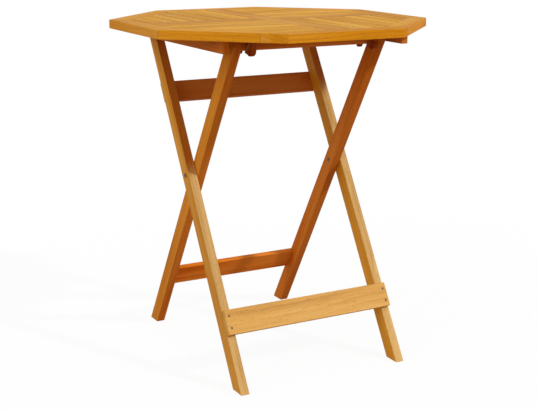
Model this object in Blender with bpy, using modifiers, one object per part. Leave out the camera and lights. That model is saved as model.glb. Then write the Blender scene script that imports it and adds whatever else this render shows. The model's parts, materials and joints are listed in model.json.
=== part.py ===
"""Folding garden table: an octagonal slatted top on two hinged leg frames that cross like scissors.

Metres, +Z up. The origin is on the ground, under the middle of the top. The front is -Y.
"""

from math import atan2, cos, pi, radians, sin, sqrt, tan

import bmesh
import bpy
from mathutils import Matrix, Vector

# The top
TOP_WIDTH = 0.650  # octagon, from flat to flat
TABLE_HEIGHT = 0.750
BOARD_THICKNESS = 0.019
RIM_WIDTH = 0.041
CENTRE_WIDTH = 0.046
SLATS_PER_QUADRANT = 7
SLAT_GAP = 0.0045
TENON_LENGTH = 0.008
TENON_THICKNESS = 0.007
TENON_SHOULDER = 0.004  # on each side of a tenon's width

# The crossed legs
PIVOT_HEIGHT = 0.4144
PIVOT_SETBACK = 0.011  # the pivot lies this far behind the middle of the top
LEG_SPREAD = 0.178  # front to rear, from the pivot to the axes at the legs' upper ends
LEG_THICKNESS = 0.0197
OUTER_LEG_DEPTH = 0.0335
INNER_LEG_DEPTH = 0.0330
OUTER_FRAME_WIDTH = 0.4068  # over the outer legs' outside faces
FRAME_CLEARANCE = 0.0008  # between an outer leg and its inner leg
HINGE_DROP = 0.018  # from the underside of the top to the axes at the legs' upper ends

# The bars across the legs
FRONT_BAR_WIDTH = 0.054
LOWER_REAR_BAR_WIDTH = 0.052
UPPER_REAR_BAR_WIDTH = 0.048
BAR_THICKNESS = 0.0115
FRONT_BAR_INSET = 0.0012  # a bar's end, inside the outer face of its leg
UPPER_REAR_BAR_INSET = 0.0042
LOWER_BAR_DROP = 0.339  # below the pivot, along the leg
UPPER_BAR_RISE = 0.208  # above the pivot, along the leg
DOWEL_RADIUS = 0.010
DOWEL_SEAT_DEPTH = 0.012

# The fittings under the top
BATTEN_THICKNESS = 0.0155
BATTEN_DEPTH = 0.0265
BATTEN_END = 0.0225  # from the hinge axis to the batten's end
BATTEN_CLEARANCE = 0.0024  # between a batten and the outer leg beside it
CATCH_THICKNESS = 0.010
CATCH_CLEARANCE = 0.012  # between a catch block and the inner leg beside it
CATCH_FRONT = 0.038  # from the seated dowel's axis forward to the front end of the block
CATCH_REAR = 0.034
CATCH_LOBE_DEPTH = 0.037  # depths of the scalloped lower edge, below the underside of the top
CATCH_SADDLE_DEPTH = 0.031
FRONT_LOBE_RADIUS = 0.0135
REAR_LOBE_RADIUS = 0.0055
CATCH_ANGLE = radians(56)  # the slot runs down and to the rear this far below the top's plane

# The fasteners
BOLT_RADIUS = 0.003
BOLT_HEAD_RADIUS = 0.005
BOLT_HEAD_HEIGHT = 0.0015
HINGE_BOLT_GRIP = 0.015  # its length inside the leg
SCREW_RADIUS = 0.0014
SCREW_HEAD_RADIUS = 0.0026
SCREW_HEAD_DEPTH = 0.0014
SCREW_LENGTH = 0.030
SCREW_TIP = 0.004
SCREW_SPREAD = 0.0265  # between the two screws at one end of a bar

# Fit and finish
FIT = 0.0003  # clearance where two pieces meet
OVERCUT = 0.010  # how far a cutter or an untrimmed blank runs past the piece
ROUND_STEPS = 20
ARC_STEPS = 12

# Finishes: colour, roughness and metallic value
RIM_FINISH = ((0.62, 0.34, 0.10), 0.45, 0)
CENTRE_FINISH = ((0.48, 0.22, 0.09), 0.45, 0)
CROSS_FINISH = ((0.55, 0.29, 0.10), 0.45, 0)
SLAT_FINISHES = (
    ((0.66, 0.38, 0.12), 0.45, 0),
    ((0.60, 0.31, 0.09), 0.45, 0),
    ((0.70, 0.42, 0.15), 0.45, 0),
)
LEG_FINISH = ((0.56, 0.27, 0.07), 0.45, 0)
BAR_FINISH = ((0.70, 0.40, 0.14), 0.45, 0)
DARK_FINISH = ((0.42, 0.18, 0.05), 0.45, 0)
STEEL_FINISH = ((0.60, 0.58, 0.55), 0.3, 1)

# Places worked out from the sizes above
UNDERSIDE = TABLE_HEIGHT - BOARD_THICKNESS
INNER_APOTHEM = TOP_WIDTH / 2 - RIM_WIDTH
CENTRE_HALF = CENTRE_WIDTH / 2
OUTER_LEG_X = OUTER_FRAME_WIDTH / 2 - LEG_THICKNESS / 2
INNER_LEG_X = OUTER_LEG_X - LEG_THICKNESS - FRAME_CLEARANCE
INNER_OPENING = 2 * INNER_LEG_X - LEG_THICKNESS
HINGE_HEIGHT = UNDERSIDE - HINGE_DROP
LEG_TILT = atan2(LEG_SPREAD, HINGE_HEIGHT - PIVOT_HEIGHT)  # from the vertical
LEG_REACH = (HINGE_HEIGHT - PIVOT_HEIGHT) / cos(LEG_TILT)
PIVOT = Vector((0, PIVOT_SETBACK, PIVOT_HEIGHT))
HINGE = PIVOT + LEG_REACH * Vector((0, sin(LEG_TILT), cos(LEG_TILT)))
DOWEL = PIVOT + LEG_REACH * Vector((0, -sin(LEG_TILT), cos(LEG_TILT)))
BATTEN_X = OUTER_FRAME_WIDTH / 2 + BATTEN_CLEARANCE + BATTEN_THICKNESS / 2
CATCH_X = INNER_OPENING / 2 - CATCH_CLEARANCE - CATCH_THICKNESS / 2
SIDES = (("left", -1), ("right", 1))
TO_SIDE_VIEW = (pi / 2, 0, pi / 2)  # turns a flat outline's x and y into the table's y and z
ALONG_X = (0, pi / 2, 0)


def clear_scene():
    for old in list(bpy.data.objects):
        bpy.data.objects.remove(old, do_unlink=True)


def new_collection(name):
    made = bpy.data.collections.new(name)
    bpy.context.scene.collection.children.link(made)
    return made


def new_axis(name, location):
    """An empty on a joint's axis, which carries the pieces that turn about it."""
    axis = bpy.data.objects.new(name, None)
    axis.location = location
    axis.empty_display_size = 0.05
    parts.objects.link(axis)
    return axis


def new_material(name, colour, roughness, metallic):
    material = bpy.data.materials.new(name)
    material.use_nodes = True
    shader = material.node_tree.nodes["Principled BSDF"]
    shader.inputs["Base Color"].default_value = (*colour, 1)
    shader.inputs["Roughness"].default_value = roughness
    shader.inputs["Metallic"].default_value = metallic
    return material


def add_piece(name, mesh, finish, location=(0, 0, 0), rotation=(0, 0, 0), carrier=None):
    """A piece of the table, at its place, riding on the axis that carries it."""
    mesh.materials.append(new_material(name, *finish))
    piece = bpy.data.objects.new(name, mesh)
    piece.location = location
    piece.rotation_euler = rotation
    if carrier:
        piece.parent = carrier
        piece.location = Vector(location) - carrier.location
    parts.objects.link(piece)
    return piece


def add_helper(name, mesh, location=(0, 0, 0), rotation=(0, 0, 0)):
    """A shape that only cuts or joins other pieces."""
    helper = bpy.data.objects.new(name, mesh)
    helper.location = location
    helper.rotation_euler = rotation
    helper.hide_render = True
    helper.display_type = "WIRE"
    cutters.objects.link(helper)
    return helper


def combine(piece, helper, operation="DIFFERENCE"):
    modifier = piece.modifiers.new(helper.name, "BOOLEAN")
    modifier.operation = operation
    modifier.object = helper
    modifier.solver = "EXACT"


def mesh_from(bm, name):
    mesh = bpy.data.meshes.new(name)
    bm.to_mesh(mesh)
    bm.free()
    return mesh


def block_mesh(name, low, high, trims=()):
    """A box between two corners, trimmed by planes that are each given as a point and a normal."""
    bm = bmesh.new()
    bmesh.ops.create_cube(bm, size=1)
    low = Vector(low)
    high = Vector(high)
    bmesh.ops.scale(bm, vec=high - low, verts=bm.verts)
    bmesh.ops.translate(bm, vec=(low + high) / 2, verts=bm.verts)
    for point, normal in trims:
        trim(bm, point, normal)
    return mesh_from(bm, name)


def trim(bm, point, normal):
    """Removes what lies beyond the plane and closes the cut."""
    if max((vert.co - point).dot(normal) for vert in bm.verts) < FIT / 10:
        return
    everything = bm.verts[:] + bm.edges[:] + bm.faces[:]
    cut = bmesh.ops.bisect_plane(bm, geom=everything, plane_co=point, plane_no=normal, clear_outer=True)
    rim = [item for item in cut["geom_cut"] if isinstance(item, bmesh.types.BMEdge)]
    bmesh.ops.holes_fill(bm, edges=rim)


def octagon_planes(apothem):
    """The eight sides of an octagon round the origin, each as a point and an outward normal."""
    planes = []
    for side in range(8):
        normal = Vector((cos(side * pi / 4), sin(side * pi / 4), 0))
        planes.append((normal * apothem, normal))
    return planes


def plate_mesh(name, outline, thickness):
    """A flat board of the given outline, centred on its own plane."""
    curve = bpy.data.curves.new(name, "CURVE")
    curve.dimensions = "2D"
    curve.fill_mode = "BOTH"
    curve.extrude = thickness / 2
    spline = curve.splines.new("POLY")
    spline.points.add(len(outline) - 1)
    for point, (across, up) in zip(spline.points, outline):
        point.co = (across, up, 0, 1)
    spline.use_cyclic_u = True
    drawn = bpy.data.objects.new(name, curve)
    cutters.objects.link(drawn)
    graph = bpy.context.evaluated_depsgraph_get()
    mesh = bpy.data.meshes.new_from_object(drawn.evaluated_get(graph))
    bpy.data.objects.remove(drawn)
    bpy.data.curves.remove(curve)
    bm = bmesh.new()
    bm.from_mesh(mesh)
    bmesh.ops.remove_doubles(bm, verts=bm.verts, dist=FIT / 10)
    bmesh.ops.recalc_face_normals(bm, faces=bm.faces)
    bm.to_mesh(mesh)
    bm.free()
    mesh.materials.clear()
    return mesh


def rod_mesh(name, radius, length):
    """A round bar along its own Z, centred."""
    bm = bmesh.new()
    bmesh.ops.create_cone(
        bm, cap_ends=True, segments=ROUND_STEPS, radius1=radius, radius2=radius, depth=length
    )
    return mesh_from(bm, name)


def turn(piece, profile):
    """Turns a profile of radius and height pairs, listed from the top down, about the piece's own Z."""
    bm = bmesh.new()
    verts = [bm.verts.new((radius, 0, height)) for radius, height in profile]
    for upper, lower in zip(verts, verts[1:]):
        bm.edges.new((upper, lower))
    bm.to_mesh(piece.data)
    bm.free()
    screw = piece.modifiers.new("turned", "SCREW")
    screw.steps = ROUND_STEPS
    screw.render_steps = ROUND_STEPS
    screw.use_merge_vertices = True
    screw.merge_threshold = 0.00005


def arc(centre, radius, start, end):
    """Points on an arc in a flat outline, angles in radians."""
    points = []
    for step in range(ARC_STEPS + 1):
        angle = start + (end - start) * step / ARC_STEPS
        points.append((centre[0] + radius * cos(angle), centre[1] + radius * sin(angle)))
    return points


# The top

def top_layer(low_x, low_y, high_x, high_y, thickness=BOARD_THICKNESS):
    """The corners of a box of this plan in the middle of the top's thickness."""
    middle = TABLE_HEIGHT - BOARD_THICKNESS / 2
    return (low_x, low_y, middle - thickness / 2), (high_x, high_y, middle + thickness / 2)


def make_groove_cutter():
    """An octagonal disc whose edge cuts the groove that takes the slats' outer tenons."""
    apothem = INNER_APOTHEM + TENON_LENGTH + FIT
    corners = top_layer(-apothem, -apothem, apothem, apothem, TENON_THICKNESS + 2 * FIT)
    return add_helper("rim_groove", block_mesh("rim_groove", *corners, octagon_planes(apothem)))


def make_rim_boards(groove):
    """Front and rear boards run through. The side boards are mitred to the four diagonal ones."""
    half = TOP_WIDTH / 2
    outside = octagon_planes(half)
    corner = half * tan(pi / 8)
    for name, side in (("front", -1), ("rear", 1)):
        inner, outer = side * (INNER_APOTHEM + FIT), side * half
        box = top_layer(-half, min(inner, outer), half, max(inner, outer))
        add_rim(f"{name}_rim_board", block_mesh(name, *box, outside), groove)
    mitre = Vector((sin(pi / 8), cos(pi / 8), 0))
    for name, side in SIDES:
        box = top_layer(-half, -corner - OVERCUT, -INNER_APOTHEM - FIT, corner + OVERCUT)
        ends = [(Vector((-half, corner - FIT, 0)), mitre)]
        ends.append((Vector((-half, FIT - corner, 0)), Vector((mitre.x, -mitre.y, 0))))
        mesh = block_mesh(name, *box, outside + ends)
        add_rim(f"{name}_rim_board", mesh, groove, mirror_x=side > 0)
        for end, mirror_y in (("front", True), ("rear", False)):
            mesh = diagonal_rim_mesh(name, corner, outside, mitre)
            add_rim(f"{end}_{name}_rim_board", mesh, groove, mirror_x=side > 0, mirror_y=mirror_y)


def diagonal_rim_mesh(name, corner, outside, mitre):
    """The rear left diagonal board, from its mitre with the side board to the rear board's inner edge."""
    diagonal = Vector((-sqrt(0.5), sqrt(0.5), 0))
    trims = list(outside)
    trims.append((diagonal * (INNER_APOTHEM + FIT), -diagonal))
    trims.append((Vector((-TOP_WIDTH / 2, corner + FIT, 0)), -mitre))
    box = top_layer(-TOP_WIDTH / 2, 0, 0, INNER_APOTHEM - FIT)
    return block_mesh(name, *box, trims)


def add_rim(name, mesh, groove, mirror_x=False, mirror_y=False):
    flip = (-1 if mirror_x else 1, -1 if mirror_y else 1)
    bm = bmesh.new()
    bm.from_mesh(mesh)
    bmesh.ops.scale(bm, vec=(flip[0], flip[1], 1), verts=bm.verts)
    bmesh.ops.recalc_face_normals(bm, faces=bm.faces)
    bm.to_mesh(mesh)
    bm.free()
    combine(add_top_piece(name, mesh, RIM_FINISH), groove)


def add_top_piece(name, mesh, finish):
    """A piece drawn in the table's own frame, with its origin moved to the hinge axis."""
    mesh.transform(Matrix.Translation(-HINGE))
    return add_piece(name, mesh, finish, HINGE, carrier=top_axis)


def add_top_board(name, plan, finish, tongue_plan, trims=(), tongue_trims=()):
    """A board of the top with a stub tenon at each end."""
    mesh = block_mesh(name, *top_layer(*plan), trims)
    board = add_top_piece(name, mesh, finish)
    tongue = block_mesh(name, *top_layer(*tongue_plan, TENON_THICKNESS), tongue_trims)
    combine(board, add_helper(f"{name}_tenons", tongue), "UNION")
    return board


def make_centre_board():
    """It runs from the front board to the rear board and is grooved where boards meet its sides."""
    reach = INNER_APOTHEM - FIT
    plan = (-CENTRE_HALF, -reach, CENTRE_HALF, reach)
    tenon_half = CENTRE_HALF - TENON_SHOULDER
    tongue = (-tenon_half, -reach - TENON_LENGTH, tenon_half, reach + TENON_LENGTH)
    board = add_top_board("centre_board", plan, CENTRE_FINISH, tongue)
    depth = CENTRE_HALF - TENON_LENGTH - FIT
    for name, side in SIDES:
        near, far = side * depth, side * (CENTRE_HALF + OVERCUT)
        ends = sorted((side * INNER_APOTHEM, -side * CENTRE_HALF))
        box = top_layer(min(near, far), ends[0], max(near, far), ends[1], TENON_THICKNESS + 2 * FIT)
        combine(board, add_helper(f"centre_{name}_groove", block_mesh("groove", *box)))


def make_cross_boards():
    """Two half boards that cross the centre board. Each is grooved on the side where slats end."""
    near, far = CENTRE_HALF + FIT, INNER_APOTHEM - FIT
    tenon_half = CENTRE_HALF - TENON_SHOULDER
    depth = CENTRE_HALF - TENON_LENGTH - FIT
    for name, side in SIDES:
        ends = sorted((side * near, side * far))
        plan = (ends[0], -CENTRE_HALF, ends[1], CENTRE_HALF)
        tongue = (ends[0] - TENON_LENGTH, -tenon_half, ends[1] + TENON_LENGTH, tenon_half)
        board = add_top_board(f"{name}_cross_board", plan, CROSS_FINISH, tongue)
        across = sorted((-side * depth, -side * (CENTRE_HALF + OVERCUT)))
        along = sorted((side * (near + TENON_SHOULDER), side * INNER_APOTHEM))
        box = top_layer(along[0], across[0], along[1], across[1], TENON_THICKNESS + 2 * FIT)
        combine(board, add_helper(f"cross_{name}_groove", block_mesh("groove", *box)))


def make_slats():
    """Four quadrants of slats, turned a quarter from one to the next."""
    room = INNER_APOTHEM - CENTRE_HALF
    width = (room - (SLATS_PER_QUADRANT + 1) * SLAT_GAP) / SLATS_PER_QUADRANT
    trims = octagon_planes(INNER_APOTHEM - FIT)
    tongue_reach = INNER_APOTHEM + TENON_LENGTH * sqrt(0.5)
    quadrants = (
        ("rear_left", -1, 1, False),
        ("rear_right", 1, 1, True),
        ("front_right", 1, -1, False),
        ("front_left", -1, -1, True),
    )
    for quadrant, side_x, side_y, along_x in quadrants:
        for index in range(SLATS_PER_QUADRANT):
            start = CENTRE_HALF + SLAT_GAP + index * (width + SLAT_GAP)
            sizes = (start, start + width, CENTRE_HALF + FIT, INNER_APOTHEM + OVERCUT)
            plan = quadrant_plan(sizes, side_x, side_y, along_x)
            sizes = (
                start + TENON_SHOULDER,
                start + width - TENON_SHOULDER,
                CENTRE_HALF + FIT - TENON_LENGTH,
                INNER_APOTHEM - FIT + TENON_LENGTH,
            )
            tongue = quadrant_plan(sizes, side_x, side_y, along_x)
            finish = SLAT_FINISHES[(index + 2 * along_x) % len(SLAT_FINISHES)]
            name = f"{quadrant}_slat_{index + 1}"
            add_top_board(name, plan, finish, tongue, trims, octagon_planes(tongue_reach))


def quadrant_plan(sizes, side_x, side_y, along_x):
    """A quadrant's rectangle as low x, low y, high x, high y. Sizes are across, then along the slat."""
    across, along = sizes[:2], sizes[2:]
    span_x, span_y = (along, across) if along_x else (across, along)
    xs = sorted(side_x * value for value in span_x)
    ys = sorted(side_y * value for value in span_y)
    return xs[0], ys[0], xs[1], ys[1]


# The fittings under the top

def make_battens():
    low_z, high_z = UNDERSIDE - FIT - BATTEN_DEPTH, UNDERSIDE - FIT
    size = (BATTEN_THICKNESS / 2, HINGE.y + BATTEN_END, BATTEN_DEPTH / 2)
    for name, side in SIDES:
        mesh = block_mesh(name, [-half for half in size], size)
        place = (side * BATTEN_X, 0, (low_z + high_z) / 2)
        batten = add_piece(f"{name}_batten", mesh, DARK_FINISH, place, carrier=top_axis)
        combine(batten, bores[name, "hinge"])


def catch_outline():
    """Side view of a catch block: flat top, and a lobe on each side of the slot's mouth.

    Measured from the dowel's axis, rearwards and up.
    """
    top = HINGE_DROP - FIT
    bottom = HINGE_DROP - CATCH_LOBE_DEPTH
    saddle = HINGE_DROP - CATCH_SADDLE_DEPTH
    front = (FRONT_LOBE_RADIUS - CATCH_FRONT, bottom + FRONT_LOBE_RADIUS)
    rear = (CATCH_REAR - REAR_LOBE_RADIUS, bottom + REAR_LOBE_RADIUS)
    points = [(-CATCH_FRONT, top)]
    points += arc(front, FRONT_LOBE_RADIUS, pi, 1.7 * pi)
    points += [(0, saddle), (rear[0] - REAR_LOBE_RADIUS, saddle)]
    points += arc(rear, REAR_LOBE_RADIUS, 1.1 * pi, 2 * pi)
    points += [(CATCH_REAR, top)]
    return points


def make_catch_blocks():
    """Each block holds the dowel in a slot that lets it out downward and to the rear."""
    width = DOWEL_RADIUS + FIT
    for name, side in SIDES:
        place = (side * CATCH_X, DOWEL.y, DOWEL.z)
        mesh = plate_mesh(name, catch_outline(), CATCH_THICKNESS)
        block = add_piece(f"{name}_catch_block", mesh, DARK_FINISH, place, TO_SIDE_VIEW, top_axis)
        slot = CATCH_THICKNESS + 2 * OVERCUT
        seat = add_helper(f"{name}_catch_seat", rod_mesh(name, width, slot), place, ALONG_X)
        low = (-slot / 2, 0, -width * cos(pi / ROUND_STEPS))
        high = (slot / 2, CATCH_LOBE_DEPTH + OVERCUT, -low[2])
        lane = add_helper(f"{name}_catch_lane", block_mesh(name, low, high), place, (-CATCH_ANGLE, 0, 0))
        combine(block, seat)
        combine(block, lane)


# The legs

def leg_point(lean, along, across=0.0):
    """A point of a leg's side view, measured from the pivot along and across the leg.

    Lean is 1 for a leg whose upper end is at the rear, and -1 for one whose upper end is in front.
    """
    return (
        lean * along * sin(LEG_TILT) + across * cos(LEG_TILT),
        along * cos(LEG_TILT) - lean * across * sin(LEG_TILT),
    )


def leg_outline(lean, depth):
    """A straight leg with a round upper end, cut level at the ground."""
    half = depth / 2
    points = []
    for across in (-half, half):
        drop = (PIVOT_HEIGHT - lean * across * sin(LEG_TILT)) / cos(LEG_TILT)
        points.append(leg_point(lean, -drop, across))
    facing = -lean * LEG_TILT
    return points + arc(leg_point(lean, LEG_REACH), half, facing, facing + pi)


def make_bore(name, radius, x, along_y_z, length):
    """A cutter for a hole along X, centred on the given point."""
    return add_helper(name, rod_mesh(name, radius + FIT, length), (x, *along_y_z), ALONG_X)


def make_bores():
    """The holes that two pieces share, so that both are cut by the same shape."""
    made = {}
    for name, side in SIDES:
        across = 2 * LEG_THICKNESS + FRAME_CLEARANCE + 2 * OVERCUT
        middle = side * (OUTER_LEG_X + INNER_LEG_X) / 2
        made[name, "pivot"] = make_bore(f"{name}_pivot_bore", BOLT_RADIUS, middle, PIVOT.yz, across)
        inner_end = OUTER_FRAME_WIDTH / 2 - HINGE_BOLT_GRIP - FIT
        outer_end = BATTEN_X + BATTEN_THICKNESS / 2 + OVERCUT
        middle = side * (inner_end + outer_end) / 2
        across = outer_end - inner_end
        made[name, "hinge"] = make_bore(f"{name}_hinge_bore", BOLT_RADIUS, middle, HINGE.yz, across)
        inner_end = INNER_OPENING / 2 - OVERCUT
        outer_end = INNER_OPENING / 2 + DOWEL_SEAT_DEPTH + FIT
        middle = side * (inner_end + outer_end) / 2
        across = outer_end - inner_end
        made[name, "dowel"] = make_bore(f"{name}_dowel_bore", DOWEL_RADIUS, middle, DOWEL.yz, across)
    return made


def make_leg(name, x, lean, depth, carrier, holes):
    mesh = plate_mesh(name, leg_outline(lean, depth), LEG_THICKNESS)
    leg = add_piece(name, mesh, LEG_FINISH, (x, *PIVOT.yz), TO_SIDE_VIEW, carrier)
    for hole in holes:
        combine(leg, hole)
    return leg


def make_legs():
    """Returns the outer legs by side, for the screws that go into them."""
    made = {}
    for name, side in SIDES:
        holes = (bores[name, "pivot"], bores[name, "hinge"])
        made[name] = make_leg(f"{name}_outer_leg", side * OUTER_LEG_X, 1, OUTER_LEG_DEPTH, None, holes)
        holes = (bores[name, "pivot"], bores[name, "dowel"])
        make_leg(f"{name}_inner_leg", side * INNER_LEG_X, -1, INNER_LEG_DEPTH, fold_axis, holes)
    return made


def make_dowel():
    length = INNER_OPENING + 2 * DOWEL_SEAT_DEPTH
    mesh = rod_mesh("catch_dowel", DOWEL_RADIUS, length)
    add_piece("catch_dowel", mesh, DARK_FINISH, DOWEL, ALONG_X, fold_axis)


# The bars

def add_bar(name, length, width, place, tilt, finish, carrier=None):
    half = Vector((length, BAR_THICKNESS, width)) / 2
    return add_piece(name, block_mesh(name, -half, half), finish, place, (tilt, 0, 0), carrier)


def make_outer_bars(legs):
    """One board on the front faces of the outer legs near the ground, one on their rear faces above."""
    offset = OUTER_LEG_DEPTH / 2 + FIT + BAR_THICKNESS / 2
    length = OUTER_FRAME_WIDTH - 2 * UPPER_REAR_BAR_INSET
    place = PIVOT + Vector((0, *leg_point(1, UPPER_BAR_RISE, offset)))
    add_bar("upper_rear_bar", length, UPPER_REAR_BAR_WIDTH, place, -LEG_TILT, DARK_FINISH)
    length = OUTER_FRAME_WIDTH - 2 * FRONT_BAR_INSET
    place = PIVOT + Vector((0, *leg_point(1, -LOWER_BAR_DROP, -offset)))
    front = add_bar("front_bar", length, FRONT_BAR_WIDTH, place, -LEG_TILT, BAR_FINISH)
    make_front_screws(front, legs)


def make_lower_rear_bar():
    """A board between the inner legs, flush with their rear faces."""
    offset = INNER_LEG_DEPTH / 2 - BAR_THICKNESS / 2
    length = INNER_OPENING - 2 * FIT
    place = PIVOT + Vector((0, *leg_point(-1, -LOWER_BAR_DROP, offset)))
    add_bar("lower_rear_bar", length, LOWER_REAR_BAR_WIDTH, place, LEG_TILT, BAR_FINISH, fold_axis)


# The fasteners

def screw_profile(grow):
    """Countersunk head and shank from the face of the wood down, with the radii grown for a hole."""
    face = OVERCUT if grow else 0
    return [
        (0, face),
        (SCREW_HEAD_RADIUS + grow, face),
        (SCREW_HEAD_RADIUS + grow, -grow),
        (SCREW_RADIUS + grow, -SCREW_HEAD_DEPTH - grow),
        (SCREW_RADIUS + grow, SCREW_TIP - SCREW_LENGTH),
        (0, -SCREW_LENGTH - grow),
    ]


def make_front_screws(front, legs):
    """Two screws at each end of the front bar, through the bar into the leg."""
    offset = OUTER_LEG_DEPTH / 2 + FIT + BAR_THICKNESS
    facing = (pi / 2 - LEG_TILT, 0, 0)
    for name, side in SIDES:
        for level, rise in (("lower", -SCREW_SPREAD / 2), ("upper", SCREW_SPREAD / 2)):
            y, z = leg_point(1, rise - LOWER_BAR_DROP, -offset)
            place = PIVOT + Vector((side * OUTER_LEG_X, y, z))
            label = f"front_bar_screw_{name}_{level}"
            hole = add_helper(f"{label}_hole", bpy.data.meshes.new(label), place, facing)
            turn(hole, screw_profile(FIT))
            combine(front, hole)
            combine(legs[name], hole)
            screw = add_piece(label, bpy.data.meshes.new(label), STEEL_FINISH, place, facing)
            turn(screw, screw_profile(0))


def bolt_profile(grip, tail_head):
    """A bolt whose flat head starts at height 0, with a second head at the far end where asked."""
    profile = [(0, BOLT_HEAD_HEIGHT), (BOLT_HEAD_RADIUS, BOLT_HEAD_HEIGHT), (BOLT_HEAD_RADIUS, 0)]
    profile += [(BOLT_RADIUS, 0), (BOLT_RADIUS, -grip)]
    if tail_head:
        profile += [(BOLT_HEAD_RADIUS, -grip), (BOLT_HEAD_RADIUS, -grip - BOLT_HEAD_HEIGHT)]
    profile.append((0, profile[-1][1]))
    return profile


def add_bolt(name, side, face, centre, grip, tail_head):
    mesh = bpy.data.meshes.new(name)
    place = (side * (face + FIT), *centre)
    bolt = add_piece(name, mesh, STEEL_FINISH, place, (0, side * pi / 2, 0))
    turn(bolt, bolt_profile(grip, tail_head))


def make_bolts():
    """A pivot bolt with a sleeve nut where each pair of legs crosses, and a hinge bolt at each batten."""
    for name, side in SIDES:
        grip = 2 * LEG_THICKNESS + FRAME_CLEARANCE + 2 * FIT
        add_bolt(f"{name}_pivot_bolt", side, OUTER_FRAME_WIDTH / 2, PIVOT.yz, grip, True)
        face = BATTEN_X + BATTEN_THICKNESS / 2
        grip = face + FIT - OUTER_FRAME_WIDTH / 2 + HINGE_BOLT_GRIP
        add_bolt(f"{name}_hinge_bolt", side, face, HINGE.yz, grip, False)


clear_scene()
parts = new_collection("folding_garden_table")
cutters = new_collection("cutters")
cutters.hide_render = True
top_axis = new_axis("top_tilt_axis", HINGE)
fold_axis = new_axis("leg_fold_axis", PIVOT)
bores = make_bores()
make_rim_boards(make_groove_cutter())
make_centre_board()
make_cross_boards()
make_slats()
make_battens()
make_catch_blocks()
make_outer_bars(make_legs())
make_lower_rear_bar()
make_dowel()
make_bolts()
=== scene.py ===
"""Dresses the folding garden table: oiled hardwood, steel fasteners, a pale studio and the camera."""

import json

import bmesh
import bpy
from math import atan2, cos, pi, radians, sin
from mathutils import Matrix, Vector


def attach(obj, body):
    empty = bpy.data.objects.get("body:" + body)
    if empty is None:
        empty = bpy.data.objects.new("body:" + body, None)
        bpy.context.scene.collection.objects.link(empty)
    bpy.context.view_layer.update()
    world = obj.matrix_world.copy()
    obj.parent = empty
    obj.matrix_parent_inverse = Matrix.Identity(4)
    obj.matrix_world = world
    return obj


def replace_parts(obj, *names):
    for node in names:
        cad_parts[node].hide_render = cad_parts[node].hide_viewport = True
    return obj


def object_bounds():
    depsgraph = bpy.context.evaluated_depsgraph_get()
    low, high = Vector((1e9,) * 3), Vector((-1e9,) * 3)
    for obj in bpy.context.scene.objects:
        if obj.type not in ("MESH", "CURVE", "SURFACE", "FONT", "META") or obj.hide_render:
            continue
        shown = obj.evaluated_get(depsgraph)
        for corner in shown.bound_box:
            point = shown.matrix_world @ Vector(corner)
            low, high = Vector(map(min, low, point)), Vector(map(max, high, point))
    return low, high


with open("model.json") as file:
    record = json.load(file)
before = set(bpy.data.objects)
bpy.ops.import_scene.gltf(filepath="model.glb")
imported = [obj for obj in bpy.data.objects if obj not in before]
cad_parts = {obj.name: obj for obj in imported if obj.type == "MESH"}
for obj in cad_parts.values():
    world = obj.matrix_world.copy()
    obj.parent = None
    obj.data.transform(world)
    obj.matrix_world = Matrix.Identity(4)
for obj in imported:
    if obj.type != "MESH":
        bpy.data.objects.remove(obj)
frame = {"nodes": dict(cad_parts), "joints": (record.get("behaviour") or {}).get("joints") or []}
cad_low, cad_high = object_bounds()
nodes = frame["nodes"]
scene = bpy.context.scene

# The camera, pitched so that the folded table stays in the picture
IMAGE_WIDTH = 537
FOCAL_PIXELS = 1133.0
SHIFT_PIXELS = 40.0
SENSOR_WIDTH = 36.0
CAMERA_PLACE = (-1.1964, -2.2064, 0.9616)
CAMERA_YAW = radians(28.386)
CAMERA_PITCH = radians(12.186)
CAMERA_ROLL = radians(-0.137)

# The light: a key that throws the shade of the top on the legs, and a wide fill
KEY_AZIMUTH = radians(37)
KEY_ELEVATION = radians(37)
KEY_STRENGTH = 1.6
KEY_ANGLE = radians(4)
FILL_AZIMUTH = radians(-75)
FILL_ELEVATION = radians(27)
FILL_STRENGTH = 0.95
FILL_ANGLE = radians(50)
SUN_DISTANCE = 4
SKY_STRENGTH = 0.58

# The stage
FLOOR_SIZE = 14.0
FLOOR_CELLS = 8
FLOOR_GAP = 0.0005
FLOOR_TINT = (0.41, 0.28, 0.18, 1)
PAPER_COLOUR = (0.93, 0.93, 0.93, 1)
WHITE = (1, 1, 1, 1)
SHADOW_SHARE = 0.08  # how much of the floor's own light and shade the camera sees
SHADOW_FADE = (0.8, 2.0)  # from the middle of the floor

# Rounded edges
EDGE_RADIUS = 0.0012
EDGE_SEGMENTS = 3
SHARP_ANGLE = radians(30)
FLAT_ANGLE = radians(1)
SHORTEST_ROUNDED = 0.0012  # shorter edges stay sharp
WELD_DISTANCE = 0.00001

# The body of the wood, linear colours, some of them with painted light and shade. Its grain runs from
# darker lines to paler streaks
RIM_COLOUR = (0.70, 0.272, 0.006)
RIM_TOP_COLOUR = (0.59, 0.248, 0.005)
SLAT_COLOUR = (0.585, 0.262, 0.006)
CENTRE_COLOUR = (0.50, 0.192, 0.005)
OUTER_LEG_COLOUR = (0.61, 0.250, 0.009)
# Painted shade and sheen on the outer legs' fronts: darker and redder where the top shades them, paled
# by a painted sheen below
OUTER_LEG_PAINTED_SHADE_COLOUR = (0.46, 0.115, 0.004)
PAINTED_SHEEN_COLOUR = (0.58, 0.340, 0.105)  # the outer legs' front faces where the top doesn't shade them
# Painted light and shade on the inner legs: their faces that look left, to the fill, take a lit colour,
# the others a darker, redder shaded one, darker still on the right leg
LEFT_INNER_LEG_SHADED_COLOUR = (0.54, 0.125, 0.003)
LEFT_INNER_LEG_LIT_SIDE_COLOUR = (0.62, 0.205, 0.006)
RIGHT_INNER_LEG_SHADED_COLOUR = (0.48, 0.100, 0.002)
RIGHT_INNER_LEG_LIT_SIDE_COLOUR = (0.62, 0.150, 0.004)
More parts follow.
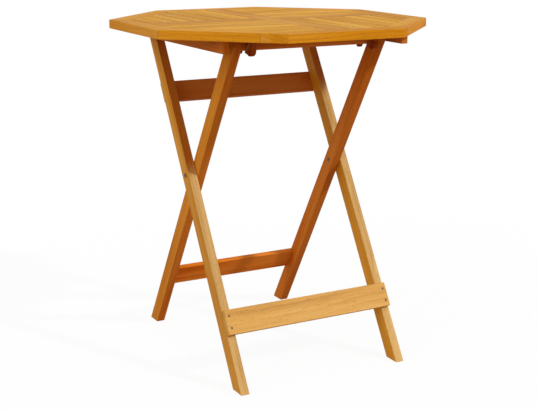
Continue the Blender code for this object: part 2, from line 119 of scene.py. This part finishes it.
# The front bar's wood, paled all over by a painted sheen for the key light's gloss on its front
FRONT_BAR_WOOD_AND_SHEEN_COLOUR = (0.62, 0.320, 0.070)
REAR_BAR_COLOUR = (0.73, 0.165, 0.002)
# Painted shade: darker, redder wood for the parts under the top, where its shadow falls
SHADED_UNDERSIDE_COLOUR = (0.53, 0.105, 0.003)
SHADED_BATTEN_COLOUR = (0.55, 0.132, 0.003)
# Painted shade: the catch blocks, deep under the top, are near black-red
SHADED_CATCH_COLOUR = (0.30, 0.040, 0.001)
GRAIN_LINES = (0.62, 0.50, 0.42)
PALE_STREAKS = (1.20, 1.42, 2.0)
PORE_COLOUR = (0.16, 0.045, 0.006, 1)
WORN_COLOUR = (0.80, 0.46, 0.13, 1)
SHADES = (1.0, 0.90, 1.08, 0.96)  # from board to board
SHEEN = 1.22  # refractive index of the thin oil film
LOW_SHEEN = 1.10
SHADE_LINE = (-0.39, 0, 1)  # normal of the plane that bounds the top's shade on the legs
SHADE_HEIGHT = 0.504
SHADE_BLUR = 0.022
FACING_RANGE = (0.45, 0.85)

# The figure of the wood
GRAIN_TILT = (radians(0.9), radians(0.7))
SEED_START = (0.11, 0.043, -0.083)
SEED_STEP = (0.37, 0.061, -0.017)
WANDER = 0.016  # how far the growth rings leave a straight line
RING_SCALE = 40.0
RING_SHARE = 0.24
STREAK_SHARE = 0.95
CLOUD_SHARE = 0.75
TONE_MIDDLE = 0.97
TONE_SPREAD = 0.42
PORE_RANGE = (0.12, 0.34)
PORE_SHARE = 0.30
FLECK_RANGE = (0.08, 0.22)
FLECK_SHARE = 0.42
WOOD_WEAR = (0.51, 0.60)
STEEL_WEAR = (0.52, 0.62)
WOOD_ROUGHNESS = (0.58, 0.46)
PORE_ROUGHNESS = 0.15
WOOD_RELIEF = 0.00018
STEEL_RELIEF = 0.00005

# Fasteners, with heads that take a cross driver or a hexagon key
TURN_STEPS = 36
CROSS_REACH = 0.0015
CROSS_HALF_WIDTH = 0.00036
CROSS_DEPTH = 0.0009
SOCKET_HALF_WIDTH = 0.0020
SOCKET_DEPTH = 0.0013
SCREW_RADIUS = 0.0014
SCREW_HEAD_RADIUS = 0.0026
SCREW_HEAD_HEIGHT = 0.0014
SCREW_TAPER_START = 0.026
SCREW_LENGTH = 0.030
SCREW_TIP_RADIUS = 0.0002
RECESS_FLOOR_SHARE = 0.72
RECESS_LIP_SHARE = 1.04
RECESS_LIP_DEPTHS = (0.00012, 0.00003)
BOLT_RADIUS = 0.003
BOLT_HEAD_RADIUS = 0.005
BOLT_HEAD_HEIGHT = 0.0015
HINGE_BOLT_LENGTH = 0.0347
PIVOT_BOLT_LENGTH = 0.0438
SCREW_COLOUR = (0.20, 0.13, 0.075)
BOLT_COLOUR = (0.15, 0.105, 0.065)

# Heads on the hidden screws of the battens and the rear bar. Their number and places are assumed
RAISED_HEAD_HEIGHT = 0.0005
RAISED_RECESS_DEPTH = 0.00045
RAISED_SKIRT_DEPTH = 0.0007
RAISED_SHANK_END = 0.002
BATTEN_SCREW_SHARES = (0.05, 0.28, 0.50, 0.72, 0.90)
BAR_SCREW_SHARES = (0.022, 0.978)
BAR_SCREW_RISE = 0.013

# The legs' lean, from the two axes that carry them
pivot = next(joint for joint in frame["joints"] if joint["name"] == "leg_fold")["pos_m"]
hinge = next(joint for joint in frame["joints"] if joint["name"] == "top_tilt")["pos_m"]
LEG_TILT = atan2(hinge[1] - pivot[1], hinge[2] - pivot[2])


def put(tree, kind, values=None, **settings):
    """A node with its settings, and with each input set to a value or linked to a socket."""
    made = tree.nodes.new(kind)
    for key, value in settings.items():
        setattr(made, key, value)
    for key, value in (values or {}).items():
        if isinstance(value, bpy.types.NodeSocket):
            tree.links.new(value, made.inputs[key])
        else:
            made.inputs[key].default_value = value
    return made


def calculate(tree, operation, first, second=0.0):
    return put(tree, "ShaderNodeMath", {0: first, 1: second}, operation=operation).outputs[0]


def weigh(tree, value, share, rest):
    values = {0: value, 1: share, 2: rest}
    return put(tree, "ShaderNodeMath", values, operation="MULTIPLY_ADD").outputs[0]


def combine(tree, operation, first, second, output="Vector"):
    values = {0: first, 1: second}
    return put(tree, "ShaderNodeVectorMath", values, operation=operation).outputs[output]


def stretch(tree, vector, scale):
    return combine(tree, "MULTIPLY", vector, scale)


def mix_colour(tree, factor, first, second, how="MIX"):
    values = {0: factor, 6: first, 7: second}
    return put(tree, "ShaderNodeMix", values, data_type="RGBA", blend_type=how).outputs[2]


def remap(tree, value, from_low, from_high, to_low, to_high, smooth=False):
    values = {0: value, 1: from_low, 2: from_high, 3: to_low, 4: to_high}
    kind = "SMOOTHSTEP" if smooth else "LINEAR"
    return put(tree, "ShaderNodeMapRange", values, interpolation_type=kind).outputs[0]


def noise(tree, vector, scale, detail, roughness=0.5):
    values = {"Vector": stretch(tree, vector, scale), "Scale": 1.0}
    values |= {"Detail": detail, "Roughness": roughness}
    return put(tree, "ShaderNodeTexNoise", values)


def new_shader(name):
    material = bpy.data.materials.new(name)
    material.use_nodes = True
    return material, material.node_tree, material.node_tree.nodes["Principled BSDF"]


def edge_wear(tree, low, high):
    """0 on the flats and 1 on the rounded edges."""
    pointiness = put(tree, "ShaderNodeNewGeometry").outputs["Pointiness"]
    return remap(tree, pointiness, low, high, 0, 1, smooth=True)


def grain_colours(tree, tone, body):
    """From the dark lines at tone 0 over the body of the wood to the pale streaks at tone 1."""
    ramp = put(tree, "ShaderNodeValToRGB", {0: tone})
    ramp.color_ramp.elements[0].color = (*(level * share for level, share in zip(body, GRAIN_LINES)), 1)
    ramp.color_ramp.elements[1].color = (*(level * share for level, share in zip(body, PALE_STREAKS)), 1)
    ramp.color_ramp.elements.new(0.5).color = (*body, 1)
    return ramp.outputs[0]


def looking(tree, place, direction):
    """1 on the faces that look in a direction."""
    across = Vector(direction).normalized()
    facing = combine(tree, "DOT_PRODUCT", place["Normal"], across, "Value")
    return remap(tree, facing, *FACING_RANGE, 0, 1, smooth=True)


def unshaded(tree, place):
    """1 on the stretch of the legs that the top doesn't shade."""
    height = combine(tree, "DOT_PRODUCT", place["Object"], SHADE_LINE, "Value")
    highest, lowest = SHADE_HEIGHT + SHADE_BLUR, SHADE_HEIGHT - SHADE_BLUR
    return remap(tree, height, highest, lowest, 0, 1, smooth=True)


def make_wood(name, body, grain, face, seed, sheen=LOW_SHEEN, contrast=1.0, side=None, painted_sheen=None):
    """Oiled hardwood with its grain along one direction. Face is a direction across the board. Side is a
    direction and the colour of the faces that look there, which paints light and shade on the legs, and
    painted_sheen the paler colour of a painted sheen on those faces below the top's shadow."""
    material, tree, shader = new_shader(name)
    grain = Vector(grain).normalized()
    face = Vector(face).normalized()
    turn = Matrix((grain, face.cross(grain), face)).to_euler()
    place = put(tree, "ShaderNodeTexCoord").outputs
    values = {
        "Vector": place["Object"],
        "Rotation": (turn.x, turn.y + GRAIN_TILT[0], turn.z + GRAIN_TILT[1]),
        "Location": [step * seed + start for step, start in zip(SEED_STEP, SEED_START)],
    }
    along = put(tree, "ShaderNodeMapping", values).outputs[0]
    # The growth rings wander a little along the board
    wander = noise(tree, along, (2.6, 16, 16), 2.0).outputs["Color"]
    wander = combine(tree, "SUBTRACT", wander, (0.5, 0.5, 0.5))
    wandered = combine(tree, "ADD", along, stretch(tree, wander, (0, WANDER, WANDER)))
    values = {"Vector": wandered, "Scale": RING_SCALE, "Distortion": 0.6}
    values |= {"Detail": 2.0, "Detail Scale": 3.0}
    settings = {"wave_type": "RINGS", "rings_direction": "X", "wave_profile": "SAW"}
    rings = put(tree, "ShaderNodeTexWave", values, **settings).outputs["Fac"]
    streaks = noise(tree, wandered, (6, 330, 330), 4.0, 0.62).outputs["Fac"]
    clouds = noise(tree, along, (2.2, 24, 24), 2.0).outputs["Fac"]
    fibres = noise(tree, along, (60, 2400, 2400), 2.0).outputs["Fac"]
    # Pores are short dark dashes, seen as dots on the end grain
    values = {"Vector": stretch(tree, wandered, (95, 1150, 1150)), "Scale": 1.0}
    pores = put(tree, "ShaderNodeTexVoronoi", values).outputs["Distance"]
    pores = remap(tree, pores, *PORE_RANGE, 1, 0, smooth=True)
    values = {"Vector": stretch(tree, wandered, (26, 300, 300)), "Scale": 1.0}
    flecks = put(tree, "ShaderNodeTexVoronoi", values).outputs["Distance"]
    flecks = remap(tree, flecks, *FLECK_RANGE, 1, 0, smooth=True)
    # Colour
    tone = calculate(tree, "MULTIPLY", rings, RING_SHARE)
    tone = weigh(tree, streaks, STREAK_SHARE, tone)
    tone = weigh(tree, clouds, CLOUD_SHARE, tone)
    spread = TONE_SPREAD / contrast
    tone = remap(tree, tone, TONE_MIDDLE - spread, TONE_MIDDLE + spread, 0, 1)
    colour = grain_colours(tree, tone, body)
    # On the legs the side colour paints light and shade face by face, and the painted sheen pales the
    # outer legs' fronts below the top's shadow
    if side:
        side_colour = grain_colours(tree, tone, side[1])
        if painted_sheen:
            painted_sheen_colour = grain_colours(tree, tone, painted_sheen)
            side_colour = mix_colour(tree, unshaded(tree, place), side_colour, painted_sheen_colour)
        colour = mix_colour(tree, looking(tree, place, side[0]), colour, side_colour)
    shade = SHADES[seed % len(SHADES)]
    colour = mix_colour(tree, 1.0, colour, (shade, shade ** 1.3, shade ** 1.5, 1), "MULTIPLY")
    colour = mix_colour(tree, calculate(tree, "MULTIPLY", pores, PORE_SHARE), colour, PORE_COLOUR)
    colour = mix_colour(tree, calculate(tree, "MULTIPLY", flecks, FLECK_SHARE), colour, PORE_COLOUR)
    patches = remap(tree, clouds, 0.35, 0.65, 0.1, 0.6)
    worn = calculate(tree, "MULTIPLY", edge_wear(tree, *WOOD_WEAR), patches)
    colour = mix_colour(tree, worn, colour, WORN_COLOUR)
    tree.links.new(colour, shader.inputs["Base Color"])
    # Sheen: the oil has sunk deeper into the soft streaks
    gloss = remap(tree, streaks, 0.3, 0.7, *WOOD_ROUGHNESS)
    gloss = calculate(tree, "ADD", gloss, calculate(tree, "MULTIPLY", pores, PORE_ROUGHNESS))
    tree.links.new(gloss, shader.inputs["Roughness"])
    shader.inputs["IOR"].default_value = sheen
    # Relief
    height = weigh(tree, streaks, 1.2, weigh(tree, pores, -0.7, fibres))
    bump = put(tree, "ShaderNodeBump", {"Height": height, "Strength": 0.35, "Distance": WOOD_RELIEF})
    tree.links.new(bump.outputs[0], shader.inputs["Normal"])
    return material


def make_steel(name, body, gloss):
    """Plated steel, dulled, with grime in patches."""
    material, tree, shader = new_shader(name)
    place = put(tree, "ShaderNodeTexCoord").outputs["Object"]
    dull = noise(tree, place, (420, 420, 420), 4.0, 0.6).outputs["Fac"]
    scratches = noise(tree, place, (2600, 300, 2600), 2.0).outputs["Fac"]
    grime = remap(tree, dull, 0.50, 0.68, 0, 0.7, smooth=True)
    colour = mix_colour(tree, grime, (*body, 1), (*(0.4 * level for level in body), 1))
    bright = (*(1.8 * level for level in body), 1)
    colour = mix_colour(tree, edge_wear(tree, *STEEL_WEAR), colour, bright)
    tree.links.new(colour, shader.inputs["Base Color"])
    shader.inputs["Metallic"].default_value = 1.0
    tree.links.new(remap(tree, dull, 0.3, 0.7, *gloss), shader.inputs["Roughness"])
    bump = put(tree, "ShaderNodeBump", {"Height": scratches, "Strength": 0.25, "Distance": STEEL_RELIEF})
    tree.links.new(bump.outputs[0], shader.inputs["Normal"])
    return material


def make_softener():
    """Geometry nodes that shade a mesh smooth except across sharp edges, and mark the edges to round."""
    tree = bpy.data.node_groups.new("soften", "GeometryNodeTree")
    tree.interface.new_socket("Geometry", in_out="INPUT", socket_type="NodeSocketGeometry")
    tree.interface.new_socket("Geometry", in_out="OUTPUT", socket_type="NodeSocketGeometry")
    tree.is_modifier = True
    mesh = put(tree, "NodeGroupInput").outputs[0]
    angle = put(tree, "GeometryNodeInputMeshEdgeAngle").outputs["Unsigned Angle"]
    soft = put(tree, "FunctionNodeCompare", {0: angle, 1: SHARP_ANGLE}, operation="LESS_THAN").outputs[0]
    mesh = put(tree, "GeometryNodeSetShadeSmooth", {"Geometry": mesh, "Shade Smooth": True}).outputs[0]
    values = {"Geometry": mesh, "Shade Smooth": soft}
    mesh = put(tree, "GeometryNodeSetShadeSmooth", values, domain="EDGE").outputs[0]
    ends = put(tree, "GeometryNodeInputMeshEdgeVertices").outputs
    length = combine(tree, "DISTANCE", ends["Position 1"], ends["Position 2"], "Value")
    values = {0: length, 1: SHORTEST_ROUNDED}
    long = put(tree, "FunctionNodeCompare", values, operation="GREATER_THAN").outputs[0]
    sharp = put(tree, "FunctionNodeBooleanMath", {0: long, 1: soft}, operation="NIMPLY").outputs[0]
    values = {"Geometry": mesh, "Name": "bevel_weight_edge", "Value": sharp}
    settings = {"data_type": "FLOAT", "domain": "EDGE"}
    mesh = put(tree, "GeometryNodeStoreNamedAttribute", values, **settings).outputs[0]
    put(tree, "NodeGroupOutput", {0: mesh})
    return tree


def round_edges(piece):
    weld = piece.modifiers.new("weld", "WELD")
    weld.merge_threshold = WELD_DISTANCE
    flats = piece.modifiers.new("whole_faces", "DECIMATE")
    flats.decimate_type = "DISSOLVE"
    flats.angle_limit = FLAT_ANGLE
    piece.modifiers.new("soften", "NODES").node_group = softener
    bevel = piece.modifiers.new("rounded_edges", "BEVEL")
    bevel.width = EDGE_RADIUS
    bevel.segments = EDGE_SEGMENTS
    bevel.limit_method = "WEIGHT"
    bevel.use_clamp_overlap = False
    bevel.harden_normals = True


def dress(name, material):
    piece = nodes[name]
    for slot in piece.material_slots:
        slot.material = material
    round_edges(piece)


# Materials, and the pieces that they go on

UP = (0, 0, 1)
ALONG_X = (1, 0, 0)
ALONG_Y = (0, 1, 0)
softener = make_softener()
screw_steel = make_steel("screw_steel", SCREW_COLOUR, (0.60, 0.80))
bolt_steel = make_steel("bolt_steel", BOLT_COLOUR, (0.35, 0.60))


def dress_top():
    diagonal_up = (1, 1, 0)
    diagonal_down = (1, -1, 0)
    rims = {
        "front": (ALONG_X, 0),
        "rear": (ALONG_X, 0),
        "left": (ALONG_Y, 1),
        "right": (ALONG_Y, 1),
        "front_left": (diagonal_down, 2),
        "rear_right": (diagonal_down, 2),
        "front_right": (diagonal_up, 3),
        "rear_left": (diagonal_up, 3),
    }
    made = {}
    for name, (grain, seed) in rims.items():
        if seed not in made:
            label = f"rim_wood_{seed + 1}"
            upper = (UP, RIM_TOP_COLOUR)
            made[seed] = make_wood(label, RIM_COLOUR, grain, UP, seed, contrast=0.7, side=upper)
        dress(f"{name}_rim_board", made[seed])
    dress("centre_board", make_wood("centre_wood_1", CENTRE_COLOUR, ALONG_Y, UP, 4))
    cross = make_wood("centre_wood_2", CENTRE_COLOUR, ALONG_X, UP, 5)
    for name in ("left_cross_board", "right_cross_board"):
        dress(name, cross)
    slats = {}
    for along_x in (False, True):
        for shade in range(len(SHADES)):
            label = f"slat_wood_{'x' if along_x else 'y'}_{shade + 1}"
            grain = ALONG_X if along_x else ALONG_Y
            slats[along_x, shade] = make_wood(label, SLAT_COLOUR, grain, UP, 8 + 4 * along_x + shade)
    orders = {
        "rear_left": (False, (2, 0, 3, 1, 0, 2, 3)),
        "rear_right": (True, (0, 3, 2, 0, 1, 2, 0)),
        "front_right": (False, (1, 2, 0, 3, 2, 0, 1)),
        "front_left": (True, (3, 0, 1, 2, 0, 3, 2)),
    }
    for quadrant, (along_x, order) in orders.items():
        for index, shade in enumerate(order):
            dress(f"{quadrant}_slat_{index + 1}", slats[along_x, shade])


def dress_frames():
    outer_grain = (0, sin(LEG_TILT), cos(LEG_TILT))
    inner_grain = (0, -sin(LEG_TILT), cos(LEG_TILT))
    front = (0, -cos(LEG_TILT), sin(LEG_TILT))
    # The outer legs' fronts: painted shade under the top, and a painted sheen below its shadow
    painted_shade_front = (front, OUTER_LEG_PAINTED_SHADE_COLOUR)
    for name, seed in (("left", 16), ("right", 18)):
        label = f"{name}_outer_leg_wood_painted_light_and_shade"
        looks = {"sheen": SHEEN, "contrast": 0.8, "side": painted_shade_front, "painted_sheen": PAINTED_SHEEN_COLOUR}
        wood = make_wood(label, OUTER_LEG_COLOUR, outer_grain, ALONG_X, seed, **looks)
        dress(f"{name}_outer_leg", wood)
    left = (-1, 0, 0)
    # Painted shade on the inner legs, with a painted lit colour on their faces that look left
    for name, body, side, seed in (
        ("left", LEFT_INNER_LEG_SHADED_COLOUR, LEFT_INNER_LEG_LIT_SIDE_COLOUR, 16),
        ("right", RIGHT_INNER_LEG_SHADED_COLOUR, RIGHT_INNER_LEG_LIT_SIDE_COLOUR, 20),
    ):
        wood = make_wood(f"{name}_inner_leg_wood_painted_light_and_shade", body, inner_grain, ALONG_X, seed, side=(left, side))
        dress(f"{name}_inner_leg", wood)
    # The front bar carries a painted sheen in its colour
    dress("front_bar", make_wood("front_bar_wood_painted_sheen", FRONT_BAR_WOOD_AND_SHEEN_COLOUR, ALONG_X, outer_grain, 18, SHEEN, 0.6))
    dress("lower_rear_bar", make_wood("bar_wood_2", REAR_BAR_COLOUR, ALONG_X, inner_grain, 20))
    # Painted shade: the parts under the top get darker, redder wood
    dark = make_wood("underside_wood", SHADED_UNDERSIDE_COLOUR, ALONG_X, outer_grain, 24)
    for name in ("upper_rear_bar", "catch_dowel"):
        dress(name, dark)
    batten = make_wood("painted_shade_batten_wood", SHADED_BATTEN_COLOUR, ALONG_Y, UP, 28)
    # Painted shade on the catch blocks
    catch = make_wood("painted_shade_catch_wood", SHADED_CATCH_COLOUR, ALONG_Y, ALONG_X, 32)
    for side in ("left", "right"):
        dress(f"{side}_batten", batten)
        dress(f"{side}_catch_block", catch)


# Fasteners

def cross_reach(angle):
    """How far a cross recess reaches from its middle."""
    angle %= pi / 2
    angle = min(angle, pi / 2 - angle)
    return min(CROSS_REACH / cos(angle), CROSS_HALF_WIDTH / max(sin(angle), 0.01))


def hexagon_reach(angle):
    return SOCKET_HALF_WIDTH / cos((angle + pi / 6) % (pi / 3) - pi / 6)


def head_rings(radius, reach, depth):
    """Distance below the head's face and reach at each angle, from the recess out to the head's rim."""
    return [
        (depth, lambda angle: RECESS_FLOOR_SHARE * reach(angle)),
        (RECESS_LIP_DEPTHS[0], reach),
        (RECESS_LIP_DEPTHS[1], lambda angle: RECESS_LIP_SHARE * reach(angle)),
        (0, lambda angle: max(1.10 * reach(angle), 0.80 * radius)),
        (0.08 * radius, lambda angle: 0.98 * radius),
        (0.11 * radius, lambda angle: radius),
    ]


def shaft_rings(profile):
    return [(below, lambda angle, radius=radius: radius) for below, radius in profile]


def loft(bm, face, turn, rings):
    """A closed solid through rings that are turned about an axis, from the middle of its face down."""
    angles = [2 * pi * step / TURN_STEPS for step in range(TURN_STEPS)]
    loops = []
    for below, reach in rings:
        spots = [(reach(angle) * cos(angle), reach(angle) * sin(angle), -below) for angle in angles]
        loops.append([bm.verts.new(face + turn @ Vector(spot)) for spot in spots])
    for inner, outer in zip(loops, loops[1:]):
        for step in range(TURN_STEPS):
            after = (step + 1) % TURN_STEPS
            bm.faces.new((inner[step], outer[step], outer[after], inner[after]))
    bm.faces.new(loops[0])
    bm.faces.new(loops[-1])


def add_steel(bm, name, body, material):
    bmesh.ops.recalc_face_normals(bm, faces=bm.faces)
    mesh = bpy.data.meshes.new(name)
    bm.to_mesh(mesh)
    bm.free()
    mesh.shade_smooth()
    mesh.set_sharp_from_angle(angle=SHARP_ANGLE)
    mesh.materials.append(material)
    piece = bpy.data.objects.new(name, mesh)
    scene.collection.objects.link(piece)
    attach(piece, body)
    return piece


def turned_box(name, turn):
    """Lowest and highest corner of a node in turned axes."""
    points = [turn.transposed() @ vertex.co for vertex in nodes[name].data.vertices]
    return [[pick(values) for values in zip(*points)] for pick in (min, max)]


def make_fastener(name, axis, rings, material):
    """A turned and recessed fastener in place of the plain one. Axis points out of its head."""
    turn = axis.to_track_quat("Z", "Y").to_matrix()
    low, high = turned_box(name, turn)
    face = turn @ Vector(((low[0] + high[0]) / 2, (low[1] + high[1]) / 2, high[2]))
    bm = bmesh.new()
    loft(bm, face, turn, rings)
    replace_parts(add_steel(bm, f"{name}_detail", "outer_frame", material), name)


def make_raised_heads(node, axis, crosswise, body, spots):
    """Screw heads on a board's face. A spot is a share of its length and a rise from its middle."""
    turn = axis.to_track_quat("Z", crosswise).to_matrix()
    low, high = turned_box(node, turn)
    rings = head_rings(SCREW_HEAD_RADIUS, cross_reach, RAISED_RECESS_DEPTH)
    rings += shaft_rings([(RAISED_SKIRT_DEPTH, SCREW_HEAD_RADIUS), (RAISED_SHANK_END, SCREW_RADIUS)])
    bm = bmesh.new()
    for share, rise in spots:
        along = low[0] + share * (high[0] - low[0])
        across = (low[1] + high[1]) / 2 + rise
        loft(bm, turn @ Vector((along, across, high[2] + RAISED_HEAD_HEIGHT)), turn, rings)
    add_steel(bm, f"{node}_screws", body, screw_steel)


def make_fasteners():
    front = Vector((0, -cos(LEG_TILT), sin(LEG_TILT)))
    shank = [(below, SCREW_RADIUS) for below in (SCREW_HEAD_HEIGHT, SCREW_TAPER_START)]
    shank.append((SCREW_LENGTH, SCREW_TIP_RADIUS))
    screw = head_rings(SCREW_HEAD_RADIUS, cross_reach, CROSS_DEPTH) + shaft_rings(shank)
    socket = head_rings(BOLT_HEAD_RADIUS, hexagon_reach, SOCKET_DEPTH)
    socket += shaft_rings([(BOLT_HEAD_HEIGHT, BOLT_HEAD_RADIUS)])
    neck = shaft_rings([(BOLT_HEAD_HEIGHT, BOLT_RADIUS)])
    hinge = socket + neck + shaft_rings([(HINGE_BOLT_LENGTH, BOLT_RADIUS)])
    nut = [(PIVOT_BOLT_LENGTH - below, reach) for below, reach in reversed(socket)]
    pivot = socket + neck + shaft_rings([(PIVOT_BOLT_LENGTH - BOLT_HEAD_HEIGHT, BOLT_RADIUS)]) + nut
    for side, across in (("left", -1), ("right", 1)):
        out = Vector((across, 0, 0))
        make_fastener(f"{side}_pivot_bolt", out, pivot, bolt_steel)
        make_fastener(f"{side}_hinge_bolt", out, hinge, bolt_steel)
        for level in ("lower", "upper"):
            make_fastener(f"front_bar_screw_{side}_{level}", front, screw, screw_steel)
        batten_spots = [(share, 0) for share in BATTEN_SCREW_SHARES]
        make_raised_heads(f"{side}_batten", Vector((0, 0, -1)), "X", "top", batten_spots)
    rises = (-BAR_SCREW_RISE, BAR_SCREW_RISE)
    bar_spots = [(share, rise) for share in BAR_SCREW_SHARES for rise in rises]
    make_raised_heads("upper_rear_bar", -front, "Y", "outer_frame", bar_spots)


dress_top()
dress_frames()
make_fasteners()


# The stage

def background(tree):
    """1 for the rays that see the background: from the camera, in gloss and through glass."""
    path = put(tree, "ShaderNodeLightPath").outputs
    seen = calculate(tree, "MAXIMUM", path["Is Camera Ray"], path["Is Glossy Ray"])
    return calculate(tree, "MAXIMUM", seen, path["Is Transmission Ray"])


def make_floor():
    bm = bmesh.new()
    bmesh.ops.create_grid(bm, x_segments=FLOOR_CELLS, y_segments=FLOOR_CELLS, size=FLOOR_SIZE / 2)
    mesh = bpy.data.meshes.new("floor")
    bm.to_mesh(mesh)
    bm.free()
    floor = bpy.data.objects.new("floor", mesh)
    floor.location.z = cad_low.z - FLOOR_GAP
    scene.collection.objects.link(floor)
    material = bpy.data.materials.new("studio_floor")
    material.use_nodes = True
    tree = material.node_tree
    tree.nodes.clear()
    bounce = put(tree, "ShaderNodeBsdfDiffuse", {"Color": FLOOR_TINT}).outputs[0]
    paper = put(tree, "ShaderNodeBsdfDiffuse", {"Color": PAPER_COLOUR}).outputs[0]
    white = put(tree, "ShaderNodeEmission", {"Color": WHITE, "Strength": 1.0}).outputs[0]
    # The shadow fades out well inside the floor's edge
    place = put(tree, "ShaderNodeTexCoord").outputs["Object"]
    radius = put(tree, "ShaderNodeVectorMath", {0: place}, operation="LENGTH").outputs["Value"]
    share = remap(tree, radius, *SHADOW_FADE, 1 - SHADOW_SHARE, 1, smooth=True)
    seen = put(tree, "ShaderNodeMixShader", {0: share, 1: paper, 2: white}).outputs[0]
    both = put(tree, "ShaderNodeMixShader", {0: background(tree), 1: bounce, 2: seen}).outputs[0]
    put(tree, "ShaderNodeOutputMaterial", {0: both})
    mesh.materials.append(material)


def make_sky():
    world = bpy.data.worlds.new("studio")
    world.use_nodes = True
    scene.world = world
    tree = world.node_tree
    tree.nodes.clear()
    strength = remap(tree, background(tree), 0, 1, SKY_STRENGTH, 1)
    sky = put(tree, "ShaderNodeBackground", {"Color": WHITE, "Strength": strength}).outputs[0]
    put(tree, "ShaderNodeOutputWorld", {0: sky})


def add_sun(name, azimuth, elevation, strength, angle):
    """Azimuth 0 shines from the front, and 90 degrees from the right."""
    lamp = bpy.data.lights.new(name, "SUN")
    lamp.energy = strength
    lamp.angle = angle
    sun = bpy.data.objects.new(name, lamp)
    to_light = Vector((sin(azimuth) * cos(elevation), -cos(azimuth) * cos(elevation), sin(elevation)))
    sun.location = to_light * SUN_DISTANCE
    sun.rotation_euler = to_light.to_track_quat("Z", "Y").to_euler()
    scene.collection.objects.link(sun)


def make_camera():
    lens = bpy.data.cameras.new("camera")
    lens.sensor_width = SENSOR_WIDTH
    lens.lens = FOCAL_PIXELS / IMAGE_WIDTH * SENSOR_WIDTH
    lens.shift_y = -SHIFT_PIXELS / IMAGE_WIDTH
    camera = bpy.data.objects.new("camera", lens)
    camera.location = CAMERA_PLACE
    camera.rotation_euler = (pi / 2 - CAMERA_PITCH, CAMERA_ROLL, -CAMERA_YAW)
    scene.collection.objects.link(camera)
    scene.camera = camera


make_floor()
make_sky()
add_sun("key", KEY_AZIMUTH, KEY_ELEVATION, KEY_STRENGTH, KEY_ANGLE)
add_sun("fill", FILL_AZIMUTH, FILL_ELEVATION, FILL_STRENGTH, FILL_ANGLE)
make_camera()
scene.view_settings.view_transform = "Standard"
